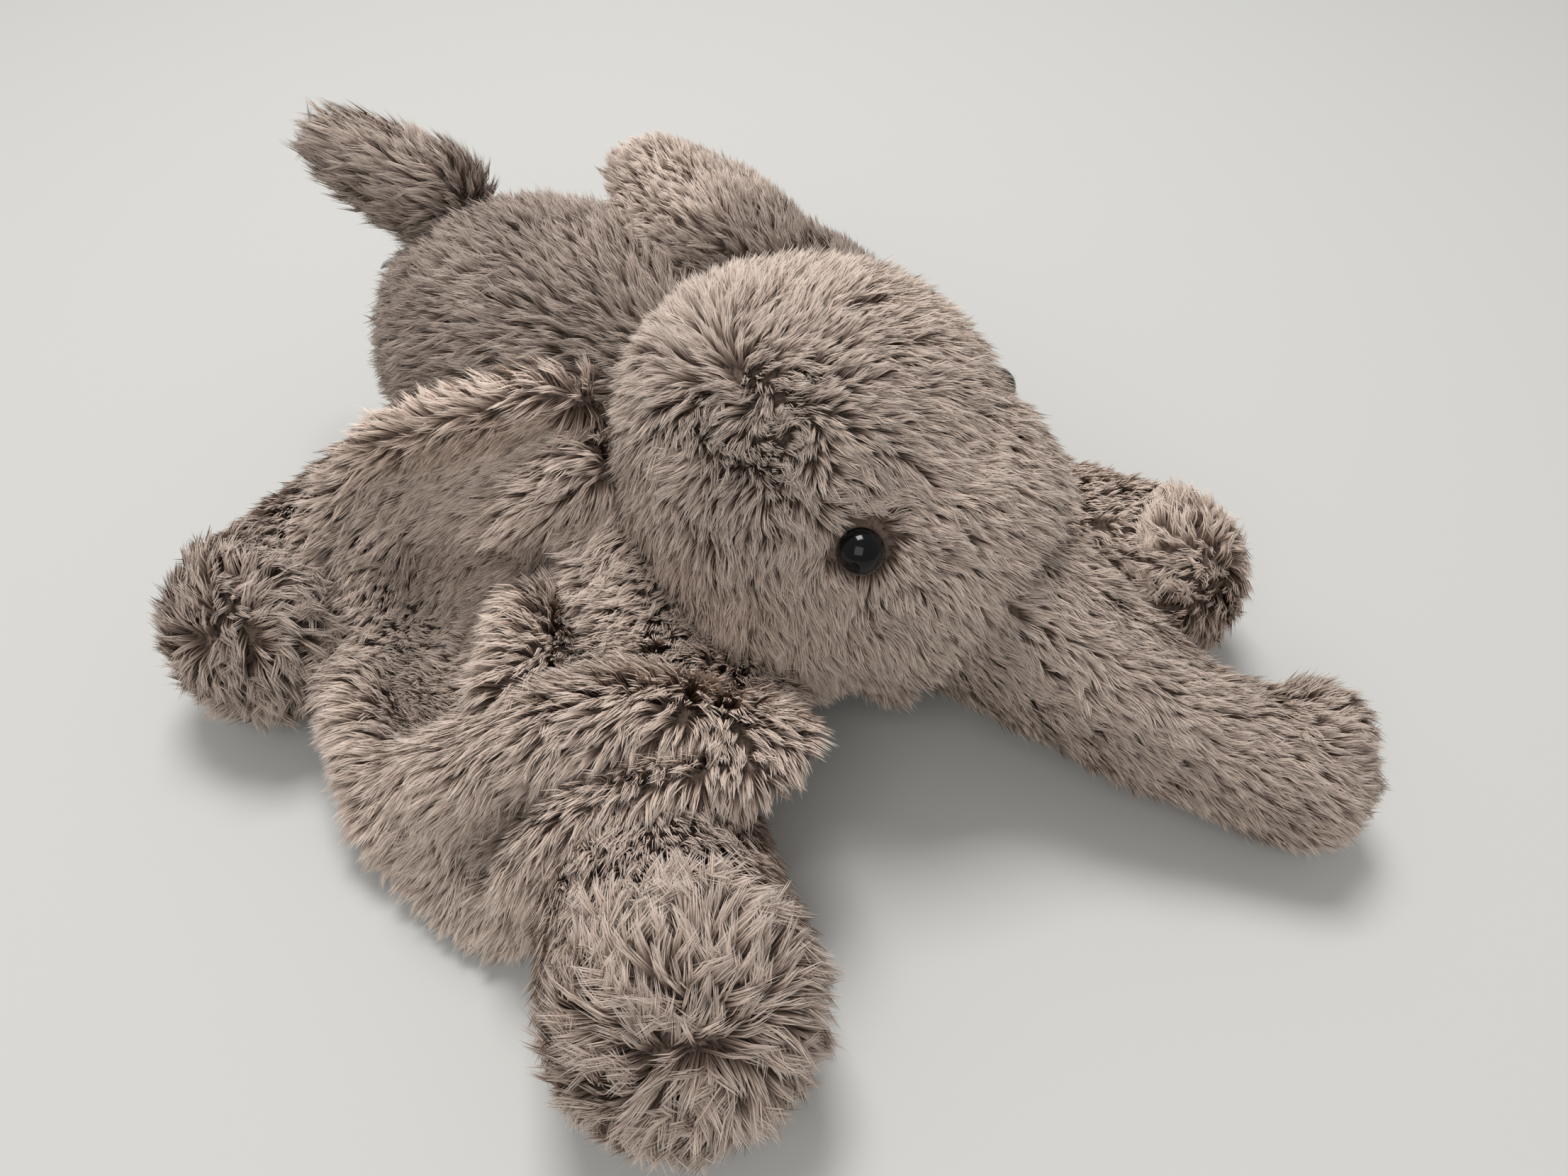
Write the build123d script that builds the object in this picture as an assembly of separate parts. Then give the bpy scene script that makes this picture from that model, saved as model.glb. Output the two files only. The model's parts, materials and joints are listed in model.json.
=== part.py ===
from build123d import *
from math import asin, cos, radians, sin
import os

# A stuffed elephant lying on its belly, in millimetres. It faces -Y, +Z is up and its own
# right side is -X. The origin is the middle of the belly's flat resting face.
# Every soft form's surface runs at half the depth of its long pile.

# Reach of the blocks that cut the forms, well past the whole toy
FAR = 400.0

# The cover and what is in it
COVER = 6.0          # backing cloth and half of the pile
LOOSE = 0.4          # room between the stuffing and the cover, and round what is in the stuffing
PLAY = 0.8           # room round each ball that turns in a seam's hollow
LIP = 8.0            # how far a seam's hollow stops behind the middle of its ball

# Torso: an oval turned about Y, cut flat where it rests
TORSO_LENGTH = 160.0
TORSO_WIDTH = 108.0
TORSO_END = 42.0     # radius of its two ends
TORSO_HEIGHT = 50.0  # height of its middle line
END = TORSO_LENGTH / 2   # from the middle to its ends; the head, limbs and tail keep their places to these
SIDE = TORSO_WIDTH / 2
GUSSET = 44.0        # width of the belly panel
BAG = 22.0           # radius of the pellet bag in the belly
BAG_CLOTH = 0.8
BAG_AT = (0, 8, 31)

# Head: a ball that tapers to the trunk
HEAD = 54.0          # radius of the skull
SNOUT = 28.0         # radius where the trunk grows out of it
HEAD_AT = (-4, -21 - END, 72)
SNOUT_AT = (4, -81 - END, 46)
CROWN = 36.0         # width of the crown gusset
CHIN = 30.0          # how far below the head's middle line the chin panel starts

# Trunk: two lengths that bend one after the other
TRUNK_ROOT = 24.0
TRUNK_MIDDLE = 20.5
TRUNK_BEND = 18.5    # radius of the ball where the tip bends
TRUNK_TIP = 18.4
BEND_AT = (11, -128 - END, 30)
TIP_AT = (25, -163 - END, 21)

# Eyes
EYE = 5.6            # radius of the dome
EYE_ALONG = 26.7     # from the skull's middle towards the snout
EYE_RISE = 36.0      # degrees up from the side of the head
EYE_SEAT = 0.4       # room round the dome where its rim presses the pile flat
SHANK = 2.0          # radius of the ribbed shank
SHANK_ROOM = 0.1
RIBS = 3
RIB = 0.4
RIB_HEIGHT = 0.5
RIB_PITCH = 1.1
WASHER = 6.5
WASHER_THICKNESS = 1.6
WASHER_FROM = -COVER - 2 * LOOSE  # the washer's outer face, measured outwards from the eye's rim
RIBS_FROM = WASHER_FROM - WASHER_THICKNESS - RIB_HEIGHT
SHANK_LENGTH = 0.9 - RIBS_FROM + (RIBS - 1) * RIB_PITCH

# Ears: round flaps cut from the wall of a ball
EAR_LAYER = 6.0      # thickness of one layer with its pile
EAR_ROLL = 6.0       # radius of the rolled root
EAR_ROLL_LENGTH = 44.0
CHIN_ROOM = 0.7      # between the head and a leg it lies on
HEAD_ROOM = 6.5      # between the flap and the head
FLOOR_ROOM = 3.0     # between the flap's edge and the floor
EAR_CLEAR = 16 - END  # the ears stay off the back behind this
RIGHT_EAR_BALL = (-50, 10 - END, -10)
RIGHT_EAR_RADIUS = 100.0
RIGHT_EAR_MIDDLE = (-84, -4 - END)
RIGHT_EAR_ACROSS = 132.0
RIGHT_EAR_WAY = (-53.5, 9, 11.5)  # from the skull's middle to the ear's root
RIGHT_EAR_OUT = 1.45              # from the skull's surface to the middle of the rolled root
LEFT_EAR_BALL = (46, 40 - END, 18)
LEFT_EAR_RADIUS = 96.0
LEFT_EAR_MIDDLE = (84, 38 - END)
LEFT_EAR_ACROSS = 132.0
LEFT_EAR_WAY = (48, 8, 21)
LEFT_EAR_OUT = -1.0
RIGHT_EAR_START = SIDE - 2  # how far from the middle the right ear clears the back
LEFT_EAR_START = SIDE + 3
LEG_ROOM = 4.0       # between the right ear and the leg under it

# Legs: shoulder or hip radius, foot radius
ARM_ROOT = 19.0
THIGH_ROOT = 22.0
FOOT = 29.0
HIND_FOOT = 27.0
SOLE = 21.0          # from the middle of the foot to its flat sole
SOLE_EDGE = 9.0      # from the middle of the foot to the sole's seam
FOOT_PELLETS = 13.0
LEGS = {
    "right_front": ((8 - SIDE, 34 - END, 21), (-72 - SIDE, -83 - END, 29), ARM_ROOT, FOOT),
    "left_front": ((SIDE - 4, 34 - END, 20), (SIDE + 9, -100 - END, 27), ARM_ROOT, HIND_FOOT),
    "right_hind": ((2 - SIDE, END - 54, 28), (-65 - SIDE, END - 74, 27), THIGH_ROOT, HIND_FOOT),
    "left_hind": ((SIDE - 4, END - 46, 28), (SIDE + 46, END - 14, 27), THIGH_ROOT, HIND_FOOT),
}
SWINGS = {           # degrees that each leg swings about the vertical, forwards and backwards
    "right_front": (0, 10),
    "left_front": (0, 22),
    "right_hind": (-40, 0),
    "left_hind": (-10, 20),
}
NOD = 12.0           # degrees that the head lifts

# Tail
TAIL_ROOT = 14.0
TAIL_TIP = 10.0
TAIL_AT = (1, END - 20, TORSO_HEIGHT + 42)
TAIL_END = (-13, END + 20, TORSO_HEIGHT + 56)

# Label and closing stitches at the rump
LABEL = (14, 11, 0.8)
LABEL_AT = (-13, END - 14, TORSO_HEIGHT + 26)
LABEL_TILT = -38.0   # degrees about X
LABEL_IN = 3.0       # how deep the label is sewn in
STITCHES = 7
STITCH = (6.0, 0.5)  # length and radius of one stitch
STITCH_SPREAD = 42.0  # degrees of the rump's curve that the row covers
STITCH_ROOM = 0.02   # between the thread and the cover


def unit(a, b):
    """The direction from point a to point b."""
    return (Vector(*b) - Vector(*a)).normalized()


def spun_oval(length, width, end, middle, inset):
    """A solid oval turned about Y: two end arcs joined by a flatter side arc."""
    half, wide = length / 2, width / 2
    side = ((half - end) ** 2 + wide**2 - end**2) / (2 * (wide - end))
    lean = asin((half - end) / (side - end))
    r, s = end - inset, side - inset
    join = (r * cos(lean), half - end + r * sin(lean))
    bend = (lean + radians(90)) / 2
    on_end = (r * cos(bend), half - end + r * sin(bend))
    edge = ThreePointArc((0, half - inset), on_end, join)
    flank = ThreePointArc(join, (s - (side - wide), 0), (join[0], -join[1]))
    other = mirror(edge, Plane.XZ)
    axis = Line((0, half - inset), (0, inset - half))
    solid = revolve(make_face([edge, flank, other, axis]), Axis.Y)
    return Pos(*middle) * solid


def tapered(start, finish, first, last, inset=0.0, stop=None):
    """A round-ended cone from start to finish, tangent to the balls at its ends.

    Where stop is given, it is cut flat that far past the middle of the finish ball.
    """
    length = (Vector(*finish) - Vector(*start)).length
    lean = asin((first - last) / length)
    a, b = first - inset, last - inset
    low, high = (a * cos(lean), a * sin(lean)), (b * cos(lean), length + b * sin(lean))
    bottom = (lean - radians(90)) / 2
    top = (lean + radians(90)) / 2
    edges = [
        ThreePointArc((0, -a), (a * cos(bottom), a * sin(bottom)), low),
        Line(low, high),
        ThreePointArc(high, (b * cos(top), length + b * sin(top)), (0, length + b)),
        Line((0, length + b), (0, -a)),
    ]
    solid = revolve(Plane.XZ * make_face(edges), Axis.Z)
    if stop is not None:
        solid = solid & slab(z=(-FAR, length + stop - inset))
    return Plane(origin=start, z_dir=unit(start, finish)) * solid


def ball(middle, radius):
    return Pos(*middle) * Sphere(radius)


def slab(x=(-FAR, FAR), y=(-FAR, FAR), z=(-FAR, FAR)):
    """The block between the limits given for each axis."""
    size = [high - low for low, high in (x, y, z)]
    middle = [(high + low) / 2 for low, high in (x, y, z)]
    return Pos(*middle) * Box(*size)


def ahead(start, finish, distance):
    """Everything further than distance from start towards finish."""
    return Plane(origin=start, z_dir=unit(start, finish)) * slab(z=(distance, distance + FAR))


def turned(shape, middle, axis, degrees):
    """The shape turned about an axis through a point."""
    frame = Location(Plane(origin=middle, z_dir=axis))
    return frame * Rot(0, 0, degrees) * frame.inverse() * shape


def swung_leg(name, degrees, more):
    """A leg's outline, grown by more, when it has swung about the vertical."""
    root, foot, first, last = LEGS[name]
    return turned(tapered(root, foot, first + more, last + more), root, (0, 0, 1), degrees)


pieces = {}  # every piece by its name


# Torso
def torso_form(inset):
    oval = spun_oval(TORSO_LENGTH, TORSO_WIDTH, TORSO_END, (0, 0, TORSO_HEIGHT), inset)
    return oval & slab(z=(inset, FAR))


def torso_hollows(shape, grow):
    """A torso shape less the hollows of its seams: neck, four legs and tail."""
    more = PLAY + grow
    shape = shape - ball(HEAD_AT, HEAD + more) - ball(TAIL_AT, TAIL_ROOT + more)
    for name in LEGS:
        for turn in SWINGS[name]:
            shape = shape - swung_leg(name, turn, more)
    return shape


torso_skin = torso_hollows(torso_form(0) - torso_form(COVER), 0)
side = GUSSET / 2
under = TORSO_HEIGHT / 2
belly_zone = slab(x=(-side, side), z=(-FAR, under))
label_frame = Pos(*LABEL_AT) * Rot(LABEL_TILT, 0, 0)
label_box = label_frame * Pos(0, LABEL[1] / 2 - LABEL_IN, 0) * Box(*LABEL)
flanks = torso_skin - belly_zone
pieces["torso_right_panel"] = (flanks & slab(x=(-FAR, 0))) - label_box
pieces["torso_left_panel"] = flanks & slab(x=(0, FAR))
pieces["belly_panel"] = torso_skin & belly_zone
torso_core = torso_hollows(torso_form(COVER + LOOSE), LOOSE)
pieces["torso_stuffing"] = torso_core - ball(BAG_AT, BAG + LOOSE)
pieces["pellet_bag"] = ball(BAG_AT, BAG) - ball(BAG_AT, BAG - BAG_CLOTH)
pieces["bag_pellets"] = ball(BAG_AT, BAG - BAG_CLOTH - LOOSE)
pieces["rump_label"] = label_box
rump = (0, END - TORSO_END, TORSO_HEIGHT)
out = TORSO_END + STITCH[1] + STITCH_ROOM
stitch = Pos(0, out, 0) * Rot(0, 90, 0) * Cylinder(STITCH[1], STITCH[0])
row = []
for k in range(STITCHES):
    turn = STITCH_SPREAD * (k / (STITCHES - 1) - 0.5)
    row.append(Pos(*rump) * Rot(turn, 0, 0) * stitch)
pieces["closing_stitches"] = Compound(children=row)

# Head, in a frame whose Z runs from the skull to the snout and whose Y is up
along = unit(HEAD_AT, SNOUT_AT)
leftward = (Vector(0, 0, 1).cross(along)).normalized()
head_frame = Plane(origin=HEAD_AT, x_dir=leftward, z_dir=along)
snout_length = (Vector(*SNOUT_AT) - Vector(*HEAD_AT)).length


def ear_root(way, out):
    """The middle of an ear's rolled root, that far out from the skull."""
    away = Vector(*way).normalized() * (HEAD + out)
    return tuple(Vector(*HEAD_AT) + away)


RIGHT_EAR_ROOT = ear_root(RIGHT_EAR_WAY, RIGHT_EAR_OUT)
LEFT_EAR_ROOT = ear_root(LEFT_EAR_WAY, LEFT_EAR_OUT)


def root_axis(root, middle):
    """The line along which an ear meets the head: square to both of their surfaces."""
    return unit(HEAD_AT, root).cross(unit(middle, root)).normalized()


right_ear_axis = root_axis(RIGHT_EAR_ROOT, RIGHT_EAR_BALL)
left_ear_axis = root_axis(LEFT_EAR_ROOT, LEFT_EAR_BALL)


def ear_roll(root, axis, more=0.0):
    """The rolled root of an ear, grown by more."""
    return Plane(origin=root, z_dir=axis) * Cylinder(EAR_ROLL + more, EAR_ROLL_LENGTH + 2 * more)


def ear_grooves(grow):
    """The grooves in which the ears' roots turn."""
    right = ear_roll(RIGHT_EAR_ROOT, right_ear_axis, PLAY + grow)
    left = ear_roll(LEFT_EAR_ROOT, left_ear_axis, PLAY + grow)
    return right + left


def head_form(inset):
    whole = tapered(HEAD_AT, SNOUT_AT, HEAD, SNOUT, inset)
    return whole - ahead(HEAD_AT, SNOUT_AT, snout_length - LIP - inset)


lean = asin((HEAD - SNOUT) / snout_length)
eye_out = (HEAD - EYE_ALONG * sin(lean)) / cos(lean)


def eye_frame(hand):
    """A frame on the head's surface, Z outwards; hand is -1 on the right and 1 on the left."""
    rise = radians(EYE_RISE)
    across, up = hand * cos(rise), sin(rise)
    direction = head_frame.from_local_coords((across, up, 0)) - Vector(*HEAD_AT)
    middle = head_frame.from_local_coords((across * eye_out, up * eye_out, EYE_ALONG))
    normal = direction * cos(lean) + along * sin(lean)
    return Plane(origin=middle, z_dir=normal)


def eye(hand):
    """A domed eye on its ribbed shank."""
    dome = Sphere(EYE) & slab(z=(0, FAR))
    shank = Pos(0, 0, -SHANK_LENGTH / 2) * Cylinder(SHANK, SHANK_LENGTH)
    solid = dome + shank
    for k in range(RIBS):
        solid += Pos(0, 0, RIBS_FROM - RIB_PITCH * k) * Cylinder(SHANK + RIB, RIB_HEIGHT)
    return eye_frame(hand) * solid


def washer(hand):
    """The lock washer behind the cover."""
    ring = Cylinder(WASHER, WASHER_THICKNESS) - Cylinder(SHANK + SHANK_ROOM, WASHER_THICKNESS)
    return eye_frame(hand) * Pos(0, 0, WASHER_FROM - WASHER_THICKNESS / 2) * ring


def shank_hole(hand):
    """The hole through the cover for the shank."""
    hole = Pos(0, 0, -SHANK_LENGTH) * Cylinder(SHANK + SHANK_ROOM, 2 * SHANK_LENGTH)
    return eye_frame(hand) * hole


def washer_pocket(hand):
    """The room in the stuffing for the shank and its washer."""
    deep = SHANK_LENGTH - COVER + 4 * LOOSE
    pocket = Pos(0, 0, LOOSE - COVER - deep / 2) * Cylinder(WASHER + LOOSE, deep)
    return eye_frame(hand) * pocket


def eye_seat(hand):
    """The flat in the pile that the dome's rim presses."""
    seat = Pos(0, 0, EYE) * Cylinder(EYE + EYE_SEAT, 2 * EYE)
    return eye_frame(hand) * seat


trunk_ball = ball(SNOUT_AT, TRUNK_ROOT + PLAY)
head_skin = head_form(0) - head_form(COVER) - trunk_ball - ear_grooves(0)
for hand in (-1, 1):
    head_skin = head_skin - shank_hole(hand) - eye_seat(hand)
crown_zone = head_frame * slab(x=(-CROWN / 2, CROWN / 2), y=(0, FAR))
chin_zone = head_frame * slab(y=(-FAR, -CHIN))
cheeks = head_skin - crown_zone - chin_zone
pieces["crown_gusset"] = head_skin & crown_zone
pieces["chin_panel"] = head_skin & chin_zone
pieces["head_right_panel"] = cheeks & (head_frame * slab(x=(-FAR, 0)))
pieces["head_left_panel"] = cheeks & (head_frame * slab(x=(0, FAR)))
head_core = head_form(COVER + LOOSE) - ball(SNOUT_AT, TRUNK_ROOT + PLAY + COVER / 2)
head_core = head_core - ear_grooves(LOOSE)
for hand in (-1, 1):
    head_core = head_core - washer_pocket(hand)
pieces["head_stuffing"] = head_core
for hand, name in ((-1, "right"), (1, "left")):
    pieces[name + "_eye"] = eye(hand)
    pieces[name + "_eye_washer"] = washer(hand)


# Trunk
def trunk_part(name, start, finish, first, last, next_ball):
    """One length of the trunk: a top cover, an under cover and the stuffing."""
    skin = tapered(start, finish, first, last) - tapered(start, finish, first, last, COVER)
    core = tapered(start, finish, first, last, COVER + LOOSE)
    if next_ball:
        length = (Vector(*finish) - Vector(*start)).length
        skin -= ahead(start, finish, length - LIP)
        skin -= ball(finish, next_ball + PLAY)
        core -= ahead(start, finish, length - LIP)
        core -= ball(finish, next_ball + PLAY + COVER / 2)
    frame = Plane(origin=start, x_dir=leftward, z_dir=unit(start, finish))
    top = frame * slab(y=(0, FAR))
    pieces[name + "_top_cover"] = skin & top
    pieces[name + "_under_cover"] = skin - top
    pieces[name + "_stuffing"] = core


trunk_part("trunk_upper", SNOUT_AT, BEND_AT, TRUNK_ROOT, TRUNK_MIDDLE, TRUNK_BEND)
trunk_part("trunk_tip", BEND_AT, TIP_AT, TRUNK_BEND, TRUNK_TIP, None)


# Legs
def leg(name, root, foot, first, last):
    """A leg: its sleeve, its round sole, its stuffing and the pellets that weigh the foot."""
    skin = tapered(root, foot, first, last, 0, SOLE) - tapered(root, foot, first, last, COVER, SOLE)
    skin = skin - tapered(HEAD_AT, SNOUT_AT, HEAD + CHIN_ROOM, SNOUT + CHIN_ROOM)
    length = (Vector(*foot) - Vector(*root)).length
    seam = ahead(root, foot, length + SOLE_EDGE)
    pieces[name + "_leg_sleeve"] = skin - seam
    pieces[name + "_foot_sole"] = skin & seam
    core = tapered(root, foot, first, last, COVER + LOOSE, SOLE)
    pieces[name + "_leg_stuffing"] = core - ball(foot, FOOT_PELLETS + LOOSE)
    pieces[name + "_foot_pellets"] = ball(foot, FOOT_PELLETS)


for name, (root, foot, first, last) in LEGS.items():
    leg(name, root, foot, first, last)

# Tail
tail_skin = tapered(TAIL_AT, TAIL_END, TAIL_ROOT, TAIL_TIP)
pieces["tail_cover"] = tail_skin - tapered(TAIL_AT, TAIL_END, TAIL_ROOT, TAIL_TIP, COVER)
pieces["tail_stuffing"] = tapered(TAIL_AT, TAIL_END, TAIL_ROOT, TAIL_TIP, COVER + LOOSE)


# Ears
def ear(name, root, axis, centre, radius, middle, across, outward, start, keep_clear):
    """An ear: a front and a back layer, the back one with the rolled root."""
    outline = Pos(middle[0], middle[1], 0) * Cylinder(across / 2, FAR)
    # what lies on the outer side of the root line
    line = Vector(axis.X, axis.Y, 0).normalized()
    away = Vector(line.Y, -line.X, 0)
    if away.X * outward < 0:
        away = away * -1
    outer_side = Plane(origin=root, x_dir=line, z_dir=away) * slab(z=(0, FAR))
    zone = (outline & outer_side) - ball(HEAD_AT, HEAD + HEAD_ROOM)
    zone = zone & slab(z=(FLOOR_ROOM, FAR))
    zone = zone - slab(x=(-start, start), y=(EAR_CLEAR, FAR))
    for leg_shape in keep_clear:
        zone = zone - leg_shape
    roll = ear_roll(root, axis)
    outer = (ball(centre, radius + EAR_LAYER) - ball(centre, radius)) & zone
    inner = (ball(centre, radius) - ball(centre, radius - EAR_LAYER)) & zone
    pieces[name + "_ear_front"] = outer - roll
    pieces[name + "_ear_back"] = inner + roll


# The right ear lies over a leg, and clears it as the leg swings and as the head lifts
under_ear = []
for turn in SWINGS["right_front"]:
    under_ear.append(swung_leg("right_front", turn, LEG_ROOM))
under_ear.append(turned(swung_leg("right_front", 0, LEG_ROOM), HEAD_AT, leftward, NOD))
ear("right", RIGHT_EAR_ROOT, right_ear_axis, RIGHT_EAR_BALL, RIGHT_EAR_RADIUS,
    RIGHT_EAR_MIDDLE, RIGHT_EAR_ACROSS, -1, RIGHT_EAR_START, under_ear)
ear("left", LEFT_EAR_ROOT, left_ear_axis, LEFT_EAR_BALL, LEFT_EAR_RADIUS,
    LEFT_EAR_MIDDLE, LEFT_EAR_ACROSS, 1, LEFT_EAR_START, [])

os.makedirs("parts", exist_ok=True)
for name, shape in pieces.items():
    export_step(shape, "parts/" + name + ".step")
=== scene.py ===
import json
from math import cos, radians, sin
import bpy
import numpy as np
from mathutils import Matrix, Vector


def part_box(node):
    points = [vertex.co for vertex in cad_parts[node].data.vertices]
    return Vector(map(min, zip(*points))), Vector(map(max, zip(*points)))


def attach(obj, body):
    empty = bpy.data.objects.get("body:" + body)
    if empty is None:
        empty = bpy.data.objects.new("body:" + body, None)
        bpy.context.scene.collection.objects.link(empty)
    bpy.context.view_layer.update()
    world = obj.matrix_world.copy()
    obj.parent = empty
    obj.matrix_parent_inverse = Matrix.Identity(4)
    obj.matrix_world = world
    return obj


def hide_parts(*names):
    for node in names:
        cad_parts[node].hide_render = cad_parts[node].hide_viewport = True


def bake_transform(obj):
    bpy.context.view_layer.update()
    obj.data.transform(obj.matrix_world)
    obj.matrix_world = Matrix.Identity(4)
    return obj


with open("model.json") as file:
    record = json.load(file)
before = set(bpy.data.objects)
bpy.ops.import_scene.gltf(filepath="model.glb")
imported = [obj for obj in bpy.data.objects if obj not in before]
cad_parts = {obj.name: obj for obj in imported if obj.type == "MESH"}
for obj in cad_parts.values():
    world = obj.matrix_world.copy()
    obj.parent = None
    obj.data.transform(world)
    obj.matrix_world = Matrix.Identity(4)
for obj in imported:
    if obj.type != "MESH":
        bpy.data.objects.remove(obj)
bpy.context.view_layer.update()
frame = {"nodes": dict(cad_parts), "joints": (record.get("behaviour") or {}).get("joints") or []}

# Sizes are in millimetres, and MM turns them into metres.
MM = 0.001
FLOOR = 0.4         # lowest point of a hair that is pressed against the floor
UV_NAME = "OFBake"  # across: tone of the lock, up: root to tip of each hair
CLOTH_MOMENTS = 14  # steps for which a cover settles under pressure
MOST_TRIANGLES = 185000  # a pile with more is shared out over several pieces
HEAD_PILE = 9.5     # lengths of hair
TRUNK_PILE = 8.5
TORSO_PILE = 10.5
EAR_PILE = 10

pivots = {j["name"]: Vector(j["pos_m"]) / MM for j in frame["joints"]}


def box_middle(node):
    low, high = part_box(node)
    return (Vector(low) + Vector(high)) / 2 / MM


HEAD = pivots["head_nod"]
SNOUT = pivots["trunk_lift"]
BEND = pivots["trunk_curl"]
TIP = Vector((25, -243, 21))
TAIL = pivots["tail_wag"]
TAIL_END = Vector((-13, 100, 106))
TORSO = Vector((0, 0, 50))
FEET = {leg: box_middle(leg + "_foot_pellets") for leg in
        ("right_front", "left_front", "right_hind", "left_hind")}
HIPS = {leg: pivots[leg + "_leg_swing"] for leg in FEET}

# The head's own directions: towards the snout, to its left, and up
ALONG = (SNOUT - HEAD).normalized()
LEFT = Vector((0, 0, 1)).cross(ALONG).normalized()
UP = ALONG.cross(LEFT)
EYE_ALONG = 26.7
EYE_RISE = radians(36)
EYE_OUT = 47.3
EYE = 5.6
EYES = ((-1, "right", 0.8, 2.4), (1, "left", -1.6, 0.6))  # hand, side, how proud it stands, bare ring


def eye_place(hand):
    """The middle of an eye's rim, and its outward direction; hand is -1 right, 1 left."""
    out = LEFT * (hand * cos(EYE_RISE)) + UP * sin(EYE_RISE)
    return HEAD + ALONG * EYE_ALONG + out * EYE_OUT, (out * 0.92 + ALONG * 0.39).normalized()


# ---------------------------------------------------------------- modelling helpers
def deselect():
    bpy.ops.object.select_all(action="DESELECT")


def apply_place(thing):
    deselect()
    thing.select_set(True)
    bpy.context.view_layer.objects.active = thing
    bpy.ops.object.transform_apply(location=True, rotation=True, scale=True)


def apply_modifier(thing, kind, **settings):
    modifier = thing.modifiers.new(kind.title(), kind)
    for key, value in settings.items():
        setattr(modifier, key, value)
    bpy.context.view_layer.objects.active = thing
    bpy.ops.object.modifier_apply(modifier=modifier.name)


def lump(at, size):
    """A ball pushed to the given half sizes."""
    deselect()
    bpy.ops.mesh.primitive_uv_sphere_add(segments=48, ring_count=24, radius=MM, location=Vector(at) * MM)
    thing = bpy.context.object
    thing.scale = size if hasattr(size, "__len__") else (size, size, size)
    apply_place(thing)
    return thing


def limb(path):
    """Lumps and cones along a path of (point, radius), as a stuffed tube."""
    made = []
    for (a, ra), (b, rb) in zip(path, path[1:]):
        a, b = Vector(a), Vector(b)
        run = b - a
        turn = run.to_track_quat("Z", "Y").to_euler()
        deselect()
        bpy.ops.mesh.primitive_cone_add(vertices=48, radius1=ra * MM, radius2=rb * MM,
                                        depth=run.length * MM, location=(a + b) / 2 * MM, rotation=turn)
        apply_place(bpy.context.object)
        made.append(bpy.context.object)
    for point, radius in path:
        made.append(lump(point, radius))
    return made


def settled(cover, most):
    """Lets a cover settle under slight pressure from inside, by well under a millimetre and never more than most."""
    before = points_of(cover)
    cloth = cover.modifiers.new("Cloth", "CLOTH")
    cloth.settings.quality = 5
    cloth.settings.mass = 0.15
    cloth.settings.use_pressure = True
    cloth.settings.uniform_pressure_force = 4
    cloth.settings.effector_weights.gravity = 0
    cloth.point_cache.frame_start, cloth.point_cache.frame_end = 1, CLOTH_MOMENTS
    for moment in range(1, CLOTH_MOMENTS + 1):
        bpy.context.scene.frame_set(moment)
    bpy.context.view_layer.objects.active = cover
    bpy.ops.object.modifier_apply(modifier=cloth.name)
    bpy.context.scene.frame_set(1)
    moved = points_of(cover) - before
    reach = np.linalg.norm(moved, axis=1, keepdims=True)
    place_points(cover, before + moved * np.minimum(1, most / np.maximum(reach, 1e-6)))


def sewn(name, lumps, voxel=5.0, rounds=4, most=1.2):
    """One closed cover over the lumps, smoothed where they meet and left to settle."""
    deselect()
    for thing in lumps:
        thing.select_set(True)
    bpy.context.view_layer.objects.active = lumps[0]
    bpy.ops.object.join()
    cover = lumps[0]
    cover.name = cover.data.name = name
    apply_modifier(cover, "REMESH", mode="VOXEL", voxel_size=voxel * MM)
    apply_modifier(cover, "SMOOTH", factor=0.5, iterations=rounds)
    settled(cover, most)
    apply_modifier(cover, "SUBSURF", levels=1, render_levels=1)
    deselect()
    cover.select_set(True)
    bpy.context.view_layer.objects.active = cover
    bpy.ops.object.shade_smooth()
    return cover


def points_of(thing):
    flat = np.empty(len(thing.data.vertices) * 3)
    thing.data.vertices.foreach_get("co", flat)
    return flat.reshape(-1, 3) / MM


def normals_of(thing):
    flat = np.empty(len(thing.data.vertices) * 3)
    thing.data.vertex_normals.foreach_get("vector", flat)
    return flat.reshape(-1, 3)


def place_points(thing, points):
    thing.data.vertices.foreach_set("co", (points * MM).ravel())
    thing.data.update()


def stroke(thing, a, b, radius, lift):
    """Raises (or with a negative lift presses in) the surface along a line, as a thumb would."""
    points = points_of(thing)
    a, b = np.array(a, float), np.array(b, float)
    run = b - a
    share = np.clip((points - a) @ run / max(run @ run, 1e-9), 0, 1)
    away = np.linalg.norm(points - a - share[:, None] * run, axis=1)
    soft = np.clip(1 - (away / radius) ** 2, 0, 1) ** 2
    place_points(thing, points + normals_of(thing) * (lift * soft)[:, None])


def flatten_under(thing, floor):
    """Lets the cover settle on the floor without folding."""
    points = points_of(thing)
    points[:, 2] = np.maximum(points[:, 2], floor)
    place_points(thing, points)


# ---------------------------------------------------------------- materials
def new_material(name, rough, color=(0.5, 0.5, 0.5, 1), **sockets):
    material = bpy.data.materials.new(name)
    material.use_nodes = True
    shader = material.node_tree.nodes["Principled BSDF"]
    shader.inputs["Base Color"].default_value = color
    shader.inputs["Roughness"].default_value = rough
    for key, value in sockets.items():
        shader.inputs[key.replace("_", " ")].default_value = value
    return material


def srgb(r, g, b):
    linear = [((c / 255 + 0.055) / 1.055) ** 2.4 if c > 10 else c / 255 / 12.92 for c in (r, g, b)]
    return (*linear, 1)


def add_node(material, kind, **settings):
    node = material.node_tree.nodes.new(kind)
    for key, value in settings.items():
        setattr(node, key, value)
    return node


def link(material, a, b):
    material.node_tree.links.new(a, b)


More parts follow.
